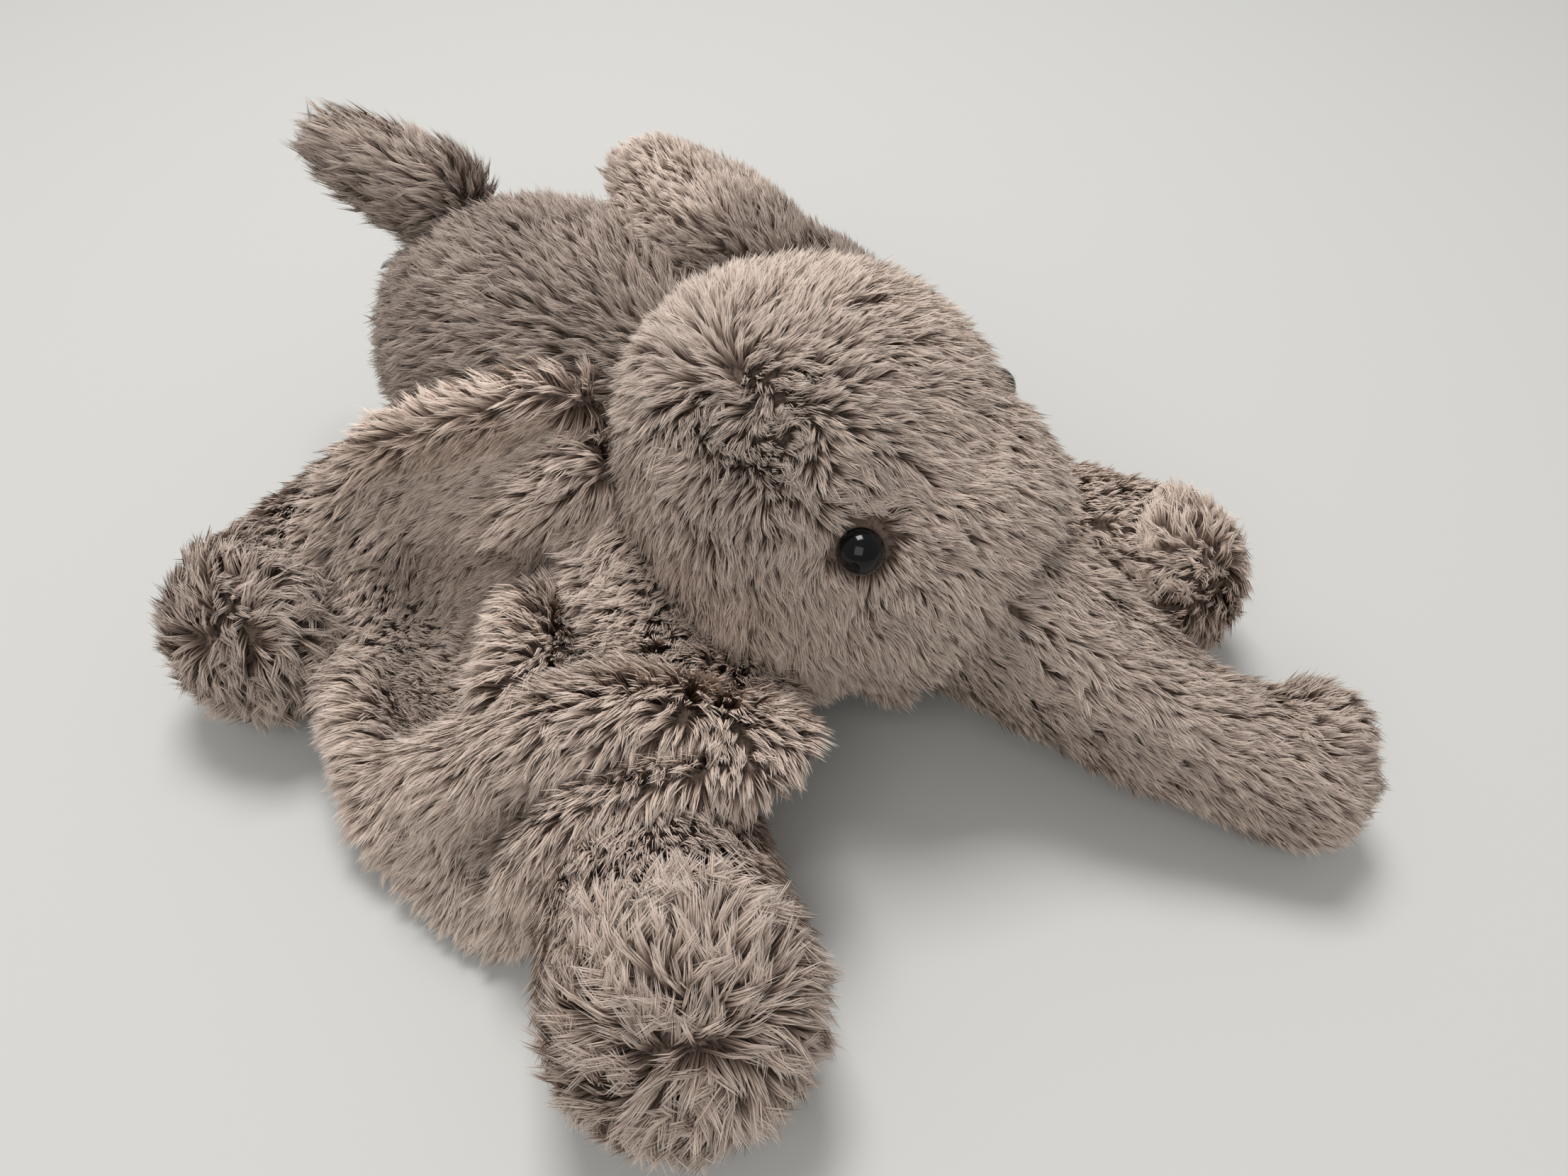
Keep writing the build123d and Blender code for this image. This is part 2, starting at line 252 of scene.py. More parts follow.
def fill_ramp(ramp, stops):
    while len(ramp.color_ramp.elements) > 1:
        ramp.color_ramp.elements.remove(ramp.color_ramp.elements[-1])
    first = ramp.color_ramp.elements[0]
    first.position, first.color = stops[0]
    for position, color in stops[1:]:
        ramp.color_ramp.elements.new(position).color = color


def fur_material():
    """Long pile: dark at the backing, paler towards the tips, each lock with its own tone; the dark roots are partly
    the fibre's own colour and partly painted shade deep in the pile.
    """
    material = new_material("taupe_pile", 0.7)
    shader = material.node_tree.nodes["Principled BSDF"]
    shader.inputs["Specular IOR Level"].default_value = 0.25
    place = add_node(material, "ShaderNodeUVMap", uv_map=UV_NAME)
    split = add_node(material, "ShaderNodeSeparateXYZ")
    link(material, place.outputs["UV"], split.inputs[0])
    length = add_node(material, "ShaderNodeValToRGB")
    # Dark roots: partly the fibre's own colour, partly painted shade deep in the pile between the locks.
    fill_ramp(length, [(0.0, srgb(70, 54, 45)), (0.3, srgb(132, 112, 99)), (0.62, srgb(204, 184, 170)),
                       (1.0, srgb(240, 226, 214))])
    link(material, split.outputs["Y"], length.inputs["Fac"])
    tone = add_node(material, "ShaderNodeValToRGB")
    fill_ramp(tone, [(0.0, (0.5, 0.48, 0.47, 1)), (0.5, (1.0, 0.99, 0.98, 1)), (1.0, (1.3, 1.29, 1.27, 1))])
    link(material, split.outputs["X"], tone.inputs["Fac"])
    mix = add_node(material, "ShaderNodeMix", data_type="RGBA", blend_type="MULTIPLY")
    mix.inputs["Factor"].default_value = 1
    link(material, length.outputs["Color"], mix.inputs["A"])
    link(material, tone.outputs["Color"], mix.inputs["B"])
    link(material, mix.outputs["Result"], shader.inputs["Base Color"])
    return material


FUR = fur_material()


def knitted_back():
    """The backing cloth under the pile, with the rows of the knit; its dark colour is partly the cloth's own and
    partly painted shade, showing in the gaps between the locks.
    """
    material = new_material("knitted_backing", 0.9)
    shader = material.node_tree.nodes["Principled BSDF"]
    place = add_node(material, "ShaderNodeTexCoord")
    grain = add_node(material, "ShaderNodeTexNoise")
    grain.inputs["Scale"].default_value = 900
    link(material, place.outputs["Object"], grain.inputs["Vector"])
    ramp = add_node(material, "ShaderNodeValToRGB")
    # Dark colour: partly the cloth's own, partly painted shade for the gaps between the locks.
    fill_ramp(ramp, [(0.3, srgb(104, 86, 75)), (0.7, srgb(140, 121, 109))])
    link(material, grain.outputs["Fac"], ramp.inputs["Fac"])
    link(material, ramp.outputs["Color"], shader.inputs["Base Color"])
    knit = add_node(material, "ShaderNodeBump")
    knit.inputs["Distance"].default_value = 0.3 * MM
    link(material, grain.outputs["Fac"], knit.inputs["Height"])
    link(material, knit.outputs["Normal"], shader.inputs["Normal"])
    return material


BACKING = knitted_back()


# ---------------------------------------------------------------- pile
def scatter(skin, spacing, rng, keep=None):
    """Places spread evenly over a cover: points, normals, in millimetres."""
    mesh = skin.data
    mesh.calc_loop_triangles()
    corners = np.empty(len(mesh.loop_triangles) * 3, np.int32)
    mesh.loop_triangles.foreach_get("vertices", corners)
    corners = corners.reshape(-1, 3)
    points, normals = points_of(skin), normals_of(skin)
    a, b, c = (points[corners[:, i]] for i in range(3))
    area = np.linalg.norm(np.cross(b - a, c - a), axis=1) / 2
    count = int(area.sum() / spacing**2 * 4)
    pick = rng.choice(len(area), count, p=area / area.sum())
    r, s = np.sqrt(rng.random(count)), rng.random(count)
    weights = np.stack([1 - r, r * (1 - s), r * s], 1)
    where = np.einsum("nk,nkj->nj", weights, points[corners[pick]])
    facing = np.einsum("nk,nkj->nj", weights, normals[corners[pick]])
    cells = np.floor(where / spacing).astype(int)
    first = np.unique(cells, axis=0, return_index=True)[1]
    where, facing = where[first], facing[first]
    if keep is not None:
        chosen = keep(where, facing)
        where, facing = where[chosen], facing[chosen]
    return where, unit(facing)


def unit(v):
    return v / np.maximum(np.linalg.norm(v, axis=-1, keepdims=True), 1e-9)


def waves(points, size, seed):
    """A smooth random value from -1 to 1 that varies over about size millimetres."""
    rng = np.random.default_rng(seed)
    total = np.zeros(len(points))
    for k in range(6):
        direction = unit(rng.normal(size=3))
        total += np.sin(points @ direction * (6.28 / size) * rng.uniform(0.6, 1.5) + rng.uniform(0, 6.28))
    return total / 3.2


def locks(name, roots, normals, flow, length, lean, tone, seed, hairs=15, spread=1.2, gather=0.4, width=0.36,
          mess=0.4):
    """Locks of hair as thin tapered blades; each lock's hairs gather towards its tip.

    The blades are shared out over as many meshes as keep each one light.
    """
    rng = np.random.default_rng(seed)
    n = len(roots)
    side = unit(flow - normals * np.sum(flow * normals, axis=1)[:, None])
    across = np.cross(normals, side)
    turn = (rng.normal(0, 0.22, n) + mess * waves(roots, 13, seed + 90))[:, None]
    side, across = side * np.cos(turn) + across * np.sin(turn), across * np.cos(turn) - side * np.sin(turn)
    lean = lean + rng.normal(0, 0.1, n) + 0.16 * waves(roots, 11, seed + 91)
    length = length * rng.uniform(0.85, 1.12, n)
    tip = roots + (normals * np.cos(lean)[:, None] + side * np.sin(lean)[:, None]) * length[:, None]
    angle = rng.uniform(0, 2 * np.pi, (n, hairs, 1))
    reach = spread * np.sqrt(rng.random((n, hairs, 1)))
    away = (side[:, None] * np.cos(angle) + across[:, None] * np.sin(angle)) * reach
    root = roots[:, None] + away
    own = rng.uniform(0.74, 1.06, (n, hairs, 1))
    end = roots[:, None] + (tip - roots)[:, None] * own + away * gather + rng.normal(0, 0.4, (n, hairs, 3))
    middle = (root + end) / 2 + normals[:, None] * (0.16 * length)[:, None, None] + away * 0.12
    run = unit(end - root)
    roll = rng.uniform(-1.1, 1.1, (n, hairs, 1))
    flat = unit(np.cross(run, np.broadcast_to(normals[:, None], run.shape)))
    wide = flat * np.cos(roll) + np.cross(flat, run) * np.sin(roll)
    half = wide * (width * rng.uniform(0.7, 1.2, (n, hairs, 1))) / 2
    points = np.stack([root - half, root + half, middle + half * 0.9, middle - half * 0.9, end], axis=2)
    points[..., 2] = np.maximum(points[..., 2], FLOOR)
    shade = np.clip(tone[:, None] + rng.normal(0, 0.06, (n, hairs)), 0.03, 0.97)
    soft = unit(normals[:, None] + away / spread * 0.5 - side[:, None] * 0.1)
    made = []
    share = int(np.ceil(n * hairs * 3 / MOST_TRIANGLES))
    for k in range(share):
        mine = slice(k, None, share)
        made.append(blades(name if share == 1 else f"{name}_{k + 1}", points[mine].reshape(-1, 3),
                           shade[mine].ravel(), soft[mine].reshape(-1, 3)))
    return made


def blades(name, points, shade, soft):
    """One mesh of tapered blades: five points each, a quad and a triangle."""
    total = len(shade)
    base = np.arange(total) * 5
    quads = np.stack([base, base + 1, base + 2, base + 3], 1)
    tips = np.stack([base + 3, base + 2, base + 4], 1)
    loops = np.concatenate([quads.ravel(), tips.ravel()])
    sizes = np.concatenate([np.full(total, 4), np.full(total, 3)])
    starts = np.concatenate([[0], np.cumsum(sizes)[:-1]])
    mesh = bpy.data.meshes.new(name)
    mesh.vertices.add(len(points))
    mesh.vertices.foreach_set("co", (points * MM).ravel())
    mesh.loops.add(len(loops))
    mesh.loops.foreach_set("vertex_index", loops)
    mesh.polygons.add(2 * total)
    mesh.polygons.foreach_set("loop_start", starts)
    mesh.polygons.foreach_set("use_smooth", np.ones(2 * total, bool))
    mesh.update(calc_edges=True)
    u = np.repeat(shade, 5).reshape(-1, 5) + np.array([-0.006, 0.006, 0.006, -0.006, 0])
    v = np.broadcast_to(np.array([0.02, 0.02, 0.55, 0.55, 0.98]), u.shape)
    layer = mesh.uv_layers.new(name=UV_NAME)
    layer.data.foreach_set("uv", np.stack([u.ravel(), v.ravel()], 1)[loops].ravel())
    mesh.normals_split_custom_set_from_vertices(np.repeat(soft, 5, axis=0))
    mesh.materials.append(FUR)
    piece = bpy.data.objects.new(name, mesh)
    bpy.context.scene.collection.objects.link(piece)
    return piece


def arr(v):
    return np.array(v, float)


# ---------------------------------------------------------------- the stage
def stage():
    deselect()
    bpy.ops.mesh.primitive_plane_add(size=40, location=(0, 0, 0))
    floor = bpy.context.object
    floor.name = "floor"
    paper = new_material("pale_floor", 0.85, srgb(206, 205, 201))
    floor.data.materials.append(paper)
    world = bpy.data.worlds.new("studio")
    world.use_nodes = True
    world.node_tree.nodes["Background"].inputs["Color"].default_value = (1, 1, 1, 1)
    world.node_tree.nodes["Background"].inputs["Strength"].default_value = 0.37
    bpy.context.scene.world = world
    for at, size, power in (((0.3, 0.35, 1.5), 0.6, 17), ((-0.9, -0.5, 1.0), 0.9, 5)):
        bpy.ops.object.light_add(type="AREA", location=at)
        lamp = bpy.context.object
        lamp.data.size, lamp.data.energy = size, power
        lamp.rotation_euler = (Vector((0, -0.08, 0.03)) - Vector(at)).to_track_quat("-Z", "Y").to_euler()


def camera():
    azimuth, elevation, distance = radians(-50), radians(46), 328.5
    target = Vector((-23.8, -106.7, 40.5))
    back = Vector((sin(azimuth) * cos(elevation), -cos(azimuth) * cos(elevation), sin(elevation)))
    data = bpy.data.cameras.new("camera")
    data.lens, data.sensor_width = 26.7, 36
    eye = bpy.data.objects.new("camera", data)
    bpy.context.scene.collection.objects.link(eye)
    eye.location = (target + back * distance) * MM
    eye.rotation_euler = (-back).to_track_quat("-Z", "Y").to_euler()
    bpy.context.scene.camera = eye


bpy.context.scene.view_settings.view_transform = "Standard"
stage()
camera()

# ---------------------------------------------------------------- head
head = sewn("head_cover", [
    lump(HEAD, (49, 50, 47)),
    lump(HEAD + ALONG * 33 + UP * 2, (40, 38, 38)),
    *limb([(HEAD, 49), (SNOUT, 23)]),
    lump(HEAD + ALONG * 14 - LEFT * 24 - UP * 24, (29, 30, 26)),
    lump(HEAD + ALONG * 14 + LEFT * 24 - UP * 24, (29, 30, 26)),
    lump((-8, -140, 36), (20, 18, 19)),
])
stroke(head, (-2, -112, 122), (16, -146, 96), 20, 1.5)
stroke(head, (-24, -80, 112), (-30, -76, 104), 34, 5)
head_points = points_of(head)


def head_local(points):
    rel = points - arr(HEAD)
    return rel @ arr(LEFT), rel @ arr(UP), rel @ arr(ALONG)


CROWN_POINT = Vector((-30, -100, 112))
RUFFLE = Vector((-38, -110, 104))


def head_flow(points, normals):
    """Hair runs out from the crown to the trunk, the cheeks and the nape, and parts round the eyes."""
    flow = unit(points - arr(CROWN_POINT)) + arr(ALONG) * 0.35
    for hand in (-1, 1):
        middle, out = eye_place(hand)
        rel = points - arr(middle)
        gap = np.linalg.norm(rel, axis=1)
        flow += unit(rel) * (1.9 * np.exp(-(gap / 13) ** 2))[:, None]
    return flow


def head_pile(name, nodes, keep, seed, tone):
    rng = np.random.default_rng(seed)

    def wanted(points, normals):
        ok = keep(*head_local(points))
        for hand, _, _, ring in EYES:
            middle, out = eye_place(hand)
            ok &= np.linalg.norm(points - arr(middle) + arr(out) * 3, axis=1) > EYE + ring
        return ok
    roots, normals = scatter(head, 1.6, rng, wanted)
    length = np.full(len(roots), HEAD_PILE)
    ruffled = np.exp(-np.sum((roots - arr(RUFFLE)) ** 2, axis=1) / 24**2)
    lean = radians(50) - radians(22) * ruffled
    for hand, _, proud, _ in EYES:
        middle, out = eye_place(hand)
        gap = np.linalg.norm(roots - arr(middle), axis=1)
        near = np.exp(-(gap / 12) ** 2) * (proud > 0)
        length *= 1 - 0.4 * near
        lean += 0.15 * near
    shade = tone + 0.07 * waves(roots, 30, seed + 1) + rng.normal(0, 0.07, len(roots)) - 0.12 * ruffled
    for pile in locks(name, roots, normals, head_flow(roots, normals), length, lean, shade, seed, hairs=10,
                      spread=1.0, mess=0.4 + 1.1 * ruffled):
        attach(pile, "head")
        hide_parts(*nodes)


CROWN = 18
CHIN = -30
head_pile("crown_gusset_pile", ["crown_gusset"], lambda x, y, z: (abs(x) < CROWN) & (y > 0) & (z < 56), 11, 0.54)
head_pile("head_right_panel_pile", ["head_right_panel"],
          lambda x, y, z: (x < 0) & (y > CHIN) & ~((abs(x) < CROWN) & (y > 0)) & (z < 56), 12, 0.5)
head_pile("head_left_panel_pile", ["head_left_panel"],
          lambda x, y, z: (x >= 0) & (y > CHIN) & ~((abs(x) < CROWN) & (y > 0)) & (z < 56), 13, 0.5)
head_pile("chin_panel_pile", ["chin_panel"], lambda x, y, z: (y <= CHIN) & (z < 56), 14, 0.46)
head.data.materials.append(BACKING)
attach(head, "head")
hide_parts("crown_gusset", "chin_panel", "head_right_panel", "head_left_panel")

# ---------------------------------------------------------------- trunk
trunk_path = [(SNOUT - ALONG * 14, 25), (SNOUT, 23), ((SNOUT + BEND) / 2, 19), (BEND, 15.5)]
tip_path = [(BEND, 15.5), ((BEND + TIP) / 2, 14.5), (TIP, 15)]
upper = sewn("trunk_upper_cover", limb(trunk_path), 3.5, 3)
tip = sewn("trunk_tip_cover", limb(tip_path) + [lump(TIP + Vector((6, 2, 9)), (11, 11, 12))], 3.5, 2)


def trunk_pile(name, nodes, skin, start, finish, keep, seed):
    rng = np.random.default_rng(seed)
    roots, normals = scatter(skin, 1.6, rng, keep)
    run = arr((finish - start).normalized())
    flow = np.tile(run, (len(roots), 1)) + normals * 0
    beyond = np.clip((roots - arr(finish)) @ run / 12, 0, 1)[:, None]
    flow = flow * (1 - 0.6 * beyond) + unit(roots - arr(finish)) * beyond
    shade = 0.44 + 0.08 * waves(roots, 25, seed + 1) + rng.normal(0, 0.07, len(roots))
    for pile in locks(name, roots, normals, flow, np.full(len(roots), TRUNK_PILE), np.full(len(roots), radians(52)),
                      shade, seed, hairs=10, spread=1.0):
        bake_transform(pile)
        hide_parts(*nodes)


LIFT_ZONE = ((SNOUT - ALONG * 10) * MM, (SNOUT + (BEND - SNOUT).normalized() * 16) * MM)
CURL_ZONE = ((BEND - (BEND - SNOUT).normalized() * 12) * MM, (BEND + (TIP - BEND).normalized() * 14) * MM)
trunk_pile("trunk_upper_pile", ["trunk_upper_top_cover", "trunk_upper_under_cover"], upper, SNOUT, BEND,
           lambda p, n: ((p - arr(BEND)) @ arr((BEND - SNOUT).normalized()) < 2)
           & ((p - arr(SNOUT)) @ arr(ALONG) > -12), 21)
trunk_pile("trunk_tip_pile", ["trunk_tip_top_cover", "trunk_tip_under_cover"], tip, BEND, TIP,
           lambda p, n: (p - arr(BEND)) @ arr((BEND - SNOUT).normalized()) > -4, 22)
for skin, bodies, zone, nodes in (
        (upper, ("head", "trunk_upper"), LIFT_ZONE, ["trunk_upper_top_cover", "trunk_upper_under_cover"]),
        (tip, ("trunk_upper", "trunk_tip"), CURL_ZONE, ["trunk_tip_top_cover", "trunk_tip_under_cover"])):
    flatten_under(skin, 1.5)
    skin.data.materials.append(BACKING)
    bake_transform(skin)
    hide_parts(*nodes)

# ---------------------------------------------------------------- torso
torso = sewn("torso_cover", [lump(TORSO, (49, 75, 49)), lump((0, -40, 42), (44, 34, 38))], 6.0, 3)
flatten_under(torso, 3)


def torso_pile(name, nodes, keep, seed, tone, spacing):
    rng = np.random.default_rng(seed)
    roots, normals = scatter(torso, spacing, rng, keep)
    flow = np.tile([0, 0.8, 0], (len(roots), 1)) + np.array([0, 0, -0.6])
    shade = tone + 0.09 * waves(roots, 30, seed + 1) + rng.normal(0, 0.06, len(roots))
    for pile in locks(name, roots, normals, flow, np.full(len(roots), TORSO_PILE), np.full(len(roots), radians(48)),
                      shade, seed, hairs=10):
        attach(pile, "torso")
        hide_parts(*nodes)


def on_belly(p):
    return (abs(p[:, 0]) < 22) & (p[:, 2] < 25)


torso_pile("torso_right_panel_pile", ["torso_right_panel"], lambda p, n: (p[:, 0] < 0) & ~on_belly(p), 31, 0.14, 2.3)
torso_pile("torso_left_panel_pile", ["torso_left_panel"], lambda p, n: (p[:, 0] >= 0) & ~on_belly(p), 32, 0.2, 2.7)
torso_pile("belly_panel_pile", ["belly_panel"], lambda p, n: on_belly(p) & (p[:, 2] > 6), 33, 0.4, 3.6)
torso.data.materials.append(BACKING)
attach(torso, "torso")
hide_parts("torso_right_panel", "torso_left_panel", "belly_panel")


# ---------------------------------------------------------------- legs
def leg(name, root_radius, foot_radius, flat, rise, long, tone, seed, spacing):
    """A leg's cover and pile; its hair runs down to the foot and whorls out over the sole."""
    hip, foot = HIPS[name], FEET[name]
    run = (foot - hip).normalized()
    faces = (run + Vector((0, 0, rise))).normalized()
    body = name + "_leg"
    skin = sewn(name + "_leg_cover", limb([(hip, root_radius), (foot, foot_radius)]), 4.0, 3)
    points = points_of(skin)
    over = np.clip((points - arr(foot)) @ arr(faces) - flat, 0, None)
    points -= over[:, None] * arr(faces) * 0.6
    points[:, 2] = np.maximum(points[:, 2], 3)
    place_points(skin, points)
    rng = np.random.default_rng(seed)
    roots, normals = scatter(skin, spacing, rng, lambda p, n: (n[:, 2] > -0.8) | (p[:, 2] > 8))
    reach = (roots - arr(foot)) @ arr(faces)
    on_sole = np.clip((reach - 2) / 7, 0, 1)[:, None]
    radial = roots - arr(foot + faces * flat)
    radial -= (radial @ arr(faces))[:, None] * arr(faces)
    swirl = np.cross(radial, arr(faces))
    flow = arr(run) * (1 - on_sole) + unit(radial + 0.5 * swirl) * on_sole
    core = np.exp(-np.sum(radial**2, axis=1) / 12**2) * on_sole[:, 0]
    flow += rng.normal(0, 1, (len(roots), 3)) * core[:, None] * 0.5
    length = long + 2.5 * on_sole[:, 0]
    lean = radians(52) + radians(6) * core
    shade = tone + 0.07 * waves(roots, 25, seed + 1) + rng.normal(0, 0.07, len(roots))
    for part, chosen in (("_leg_sleeve", reach < 5), ("_foot_sole", reach >= 5)):
        for pile in locks(name + part + "_pile", roots[chosen], normals[chosen], flow[chosen], length[chosen],
                          lean[chosen], shade[chosen], seed + 2, hairs=10, spread=1.2, gather=0.5, width=0.4,
                          mess=0.4 + 1.1 * on_sole[chosen, 0]):
            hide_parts(name + part)
            if part == "_foot_sole":
                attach(pile, body)
            else:
                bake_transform(pile)
    skin.data.materials.append(BACKING)
    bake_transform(skin)
    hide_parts(name + "_leg_sleeve", name + "_foot_sole")


leg("right_front", 15, 26.5, 21, 0.8, 9.5, 0.46, 41, 1.8)
leg("left_front", 15, 22.5, 22, 0.6, 6.5, 0.72, 43, 2.2)
leg("right_hind", 18, 24.5, 22, 0.6, 8, 0.34, 45, 2.0)
leg("left_hind", 18, 22, 18, 0.3, 9.5, 0.44, 47, 3.2)

# ---------------------------------------------------------------- tail
tail_run = (TAIL_END - TAIL).normalized()
tail = sewn("tail_backing", limb([(TAIL, 12), (TAIL + tail_run * 24, 9), (TAIL + tail_run * 36, 6)]), 3.0, 2)
rng = np.random.default_rng(51)
roots, normals = scatter(tail, 2.0, rng)
far = np.clip((roots - arr(TAIL)) @ arr(tail_run) / 44, 0, 1)
piles = locks("tail_pile", roots, normals, np.tile(arr(tail_run), (len(roots), 1)) - [0, 0, 0.1], 12 + 4 * far,
              radians(56) + radians(8) * far, 0.26 + rng.normal(0, 0.09, len(roots)), 51,
              hairs=12, gather=0.5, width=0.4)
tail.data.materials.append(BACKING)
for thing in (*piles, tail):
    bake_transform(thing)
    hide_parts("tail_cover")

# ---------------------------------------------------------------- ears
# Nets of points on the ears' outer faces: rows from the head to the rim
RIGHT_EAR = [
    [(-42, -58, 98), (-52, -45, 95), (-63, -32, 90), (-74, -16, 82), (-86, 3, 73)],
    [(-48, -60, 82), (-56, -45, 76), (-66, -27, 66), (-78, -12, 60), (-102, -1, 60)],
    [(-50, -74, 74), (-68, -59, 62), (-78, -38, 46), (-92, -22, 34), (-117, -11, 43)],
    [(-50, -86, 64), (-80, -76, 62), (-96, -68, 52), (-112, -46, 32), (-128, -23, 29)],
    [(-50, -98, 56), (-86, -98, 62), (-106, -97, 62), (-124, -78, 42), (-138, -42, 16)],
    [(-50, -110, 52), (-88, -117, 62), (-108, -115, 60), (-128, -104, 46), (-145, -67, 8)],
    [(-48, -121, 50), (-85, -130, 62), (-108, -130, 61), (-123, -122, 48), (-150, -94, 5)],
    [(-47, -127, 48), (-82, -141, 64), (-102, -140, 62), (-115, -135, 54), (-142, -120, 5)],
    [(-46, -131, 46), (-76, -148, 61), (-91, -147, 62), (-102, -144, 56), (-121, -133, 44)],
    [(-46, -134, 44), (-70, -154, 57), (-79, -154, 58), (-86, -154, 54), (-102, -149, 50)],
]
LEFT_EAR = [
    [(22, -58, 92), (10, -34, 96), (10, -8, 99), (26, 14, 100)],
    [(28, -60, 102), (20, -36, 110), (22, -8, 113), (34, 18, 109)],
    [(42, -64, 104), (38, -38, 113), (45, -10, 117), (60, 24, 108)],
    [(50, -72, 99), (56, -46, 104), (66, -20, 106), (82, 12, 96)],
    [(58, -80, 90), (74, -52, 90), (87, -28, 86), (100, -2, 74)],
    [(66, -84, 74), (96, -50, 70), (112, -32, 56), (126, -14, 42)],
]
# Folds: line, reach and lift; a crease has a negative lift
RIGHT_FOLDS = [
    # the rolled upper edge, and the rim that runs down from it
    ((-42, -56, 100), (-56, -38, 96), 18, 9), ((-56, -38, 96), (-80, -13, 84), 18, 9),
    ((-80, -13, 84), (-104, -12, 66), 15, 8), ((-104, -12, 66), (-120, -28, 44), 13, 6),
    ((-120, -28, 44), (-140, -64, 14), 12, 5),
    # the lip under the roll, and the hollow below it
    ((-47, -61, 76), (-72, -48, 65), 12, 10), ((-72, -48, 65), (-90, -24, 61), 12, 9),
    ((-68, -60, 58), (-84, -38, 47), 12, -12), ((-90, -36, 43), (-108, -56, 36), 23, -17),
    # the fold that comes down from the cheek, and its crease
    ((-78, -64, 64), (-104, -84, 56), 13, 8),
    ((-76, -66, 60), (-82, -86, 56), 10, -10), ((-82, -86, 56), (-92, -94, 56), 9, -6),
    # two long folds that run to the front corner, with a crease between them
    ((-129, -76, 36), (-108, -100, 52), 15, 7), ((-108, -100, 52), (-84, -124, 62), 15, 8),
    ((-84, -124, 62), (-68, -150, 56), 14, 6),
    ((-134, -100, 28), (-118, -112, 46), 10, -10), ((-118, -112, 46), (-98, -125, 55), 10, -12),
    ((-98, -125, 55), (-85, -136, 57), 9, -9),
    ((-133, -115, 32), (-117, -121, 46), 11, 6), ((-117, -121, 46), (-101, -133, 54), 11, 7),
    ((-101, -133, 54), (-82, -152, 54), 11, 5),
]
LEFT_FOLDS = [((30, -34, 106), (44, 4, 110), 18, 4), ((66, -50, 90), (92, -10, 82), 20, -4)]


def fold_height(points, folds):
    """How far the folds lift each point, in millimetres."""
    lifted = np.zeros(len(points))
    for a, b, reach, lift in folds:
        a, b = arr(a), arr(b)
        share = np.clip((points - a) @ (b - a) / ((b - a) @ (b - a)), 0, 1)
        away = np.linalg.norm(points - a - share[:, None] * (b - a), axis=1)
        bump = lift * np.clip(1 - (away / reach) ** 2, 0, 1) ** 2
        lifted = np.where(abs(bump) > abs(lifted), bump, lifted)
    return lifted


FUR_DEEP = 7.0
EAR_THICK = 5.0


def ear_skin(name, cage, folds, upward):
    """A flap of two layers: a net of points, smoothed, folded and given its thickness."""
    rows, columns = len(cage), len(cage[0])
    deselect()
    bpy.ops.mesh.primitive_grid_add(x_subdivisions=columns - 1, y_subdivisions=rows - 1, size=1)
    flap = bpy.context.object
    flap.name = flap.data.name = name
    apply_place(flap)
    place_points(flap, np.array([p for row in cage for p in row], float))
    apply_modifier(flap, "SUBSURF", levels=4, render_levels=4)
    points, normals = points_of(flap), normals_of(flap)
    normals *= np.sign(np.mean(normals @ arr(upward)))
    lifted = fold_height(points, folds)
    points += normals * (lifted - FUR_DEEP - EAR_THICK / 2)[:, None]
    points[:, 2] = np.maximum(points[:, 2], 4)
    place_points(flap, points)
    apply_modifier(flap, "SMOOTH", factor=0.5, iterations=6)
    apply_modifier(flap, "SOLIDIFY", thickness=EAR_THICK * MM, offset=0)
    apply_modifier(flap, "REMESH", mode="VOXEL", voxel_size=1.6 * MM)
    apply_modifier(flap, "SMOOTH", factor=0.5, iterations=4)
    deselect()
    flap.select_set(True)
    bpy.context.view_layer.objects.active = flap
    bpy.ops.object.shade_smooth()
    return flap


def ear(name, cage, folds, upward, hang, tip, tip_hang, seed, tone, spacing):
    skin = ear_skin(name + "_cloth", cage, folds, upward)
    pivot = pivots[name + "_flap"]
    rng = np.random.default_rng(seed)
    start = arr(pivot)
    for part, sign in (("_front", 1), ("_back", -1)):
        roots, normals = scatter(skin, spacing if sign > 0 else 3.3, rng, lambda p, n: (n @ arr(upward)) * sign > 0)
        height = fold_height(roots + normals * FUR_DEEP, folds) if sign > 0 else np.zeros(len(roots))
        near_tip = np.exp(-np.sum((roots - arr(tip)) ** 2, axis=1) / 22**2)[:, None]
        flow = (roots - start) / 90 + arr(hang) * (1 - near_tip) + arr(tip_hang) * near_tip
        top = np.clip((roots[:, 1] + 50) / 20, 0, 1) * np.clip((roots[:, 2] - 66) / 10, 0, 1)
        flow += top[:, None] * np.array([0.4, 0.7, 0.4])
        shade = tone + 0.06 * waves(roots, 30, seed + 1) + rng.normal(0, 0.07, len(roots))
        # Painted light and shade: the folds' ridges are painted paler and their creases darker, and the rolled upper
        # edge (top) is painted paler as a painted highlight.
        shade += np.clip(height, -8, 4) * 0.034 + 0.5 * top
        length = EAR_PILE + np.clip(height, -10, 4) * 0.4 - 1.5 * top - 3 * near_tip[:, 0]
        shade += 0.12 * near_tip[:, 0]
        for pile in locks(name + part + "_pile", roots, normals, flow, length,
                          radians(48) - radians(6) * top + radians(9) * near_tip[:, 0],
                          shade, seed + 2 + sign, hairs=10 if sign > 0 else 6, width=0.4):
            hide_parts(name + part)
            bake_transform(pile)
    skin.data.materials.append(BACKING)
    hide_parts(name + "_front", name + "_back")
    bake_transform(skin)


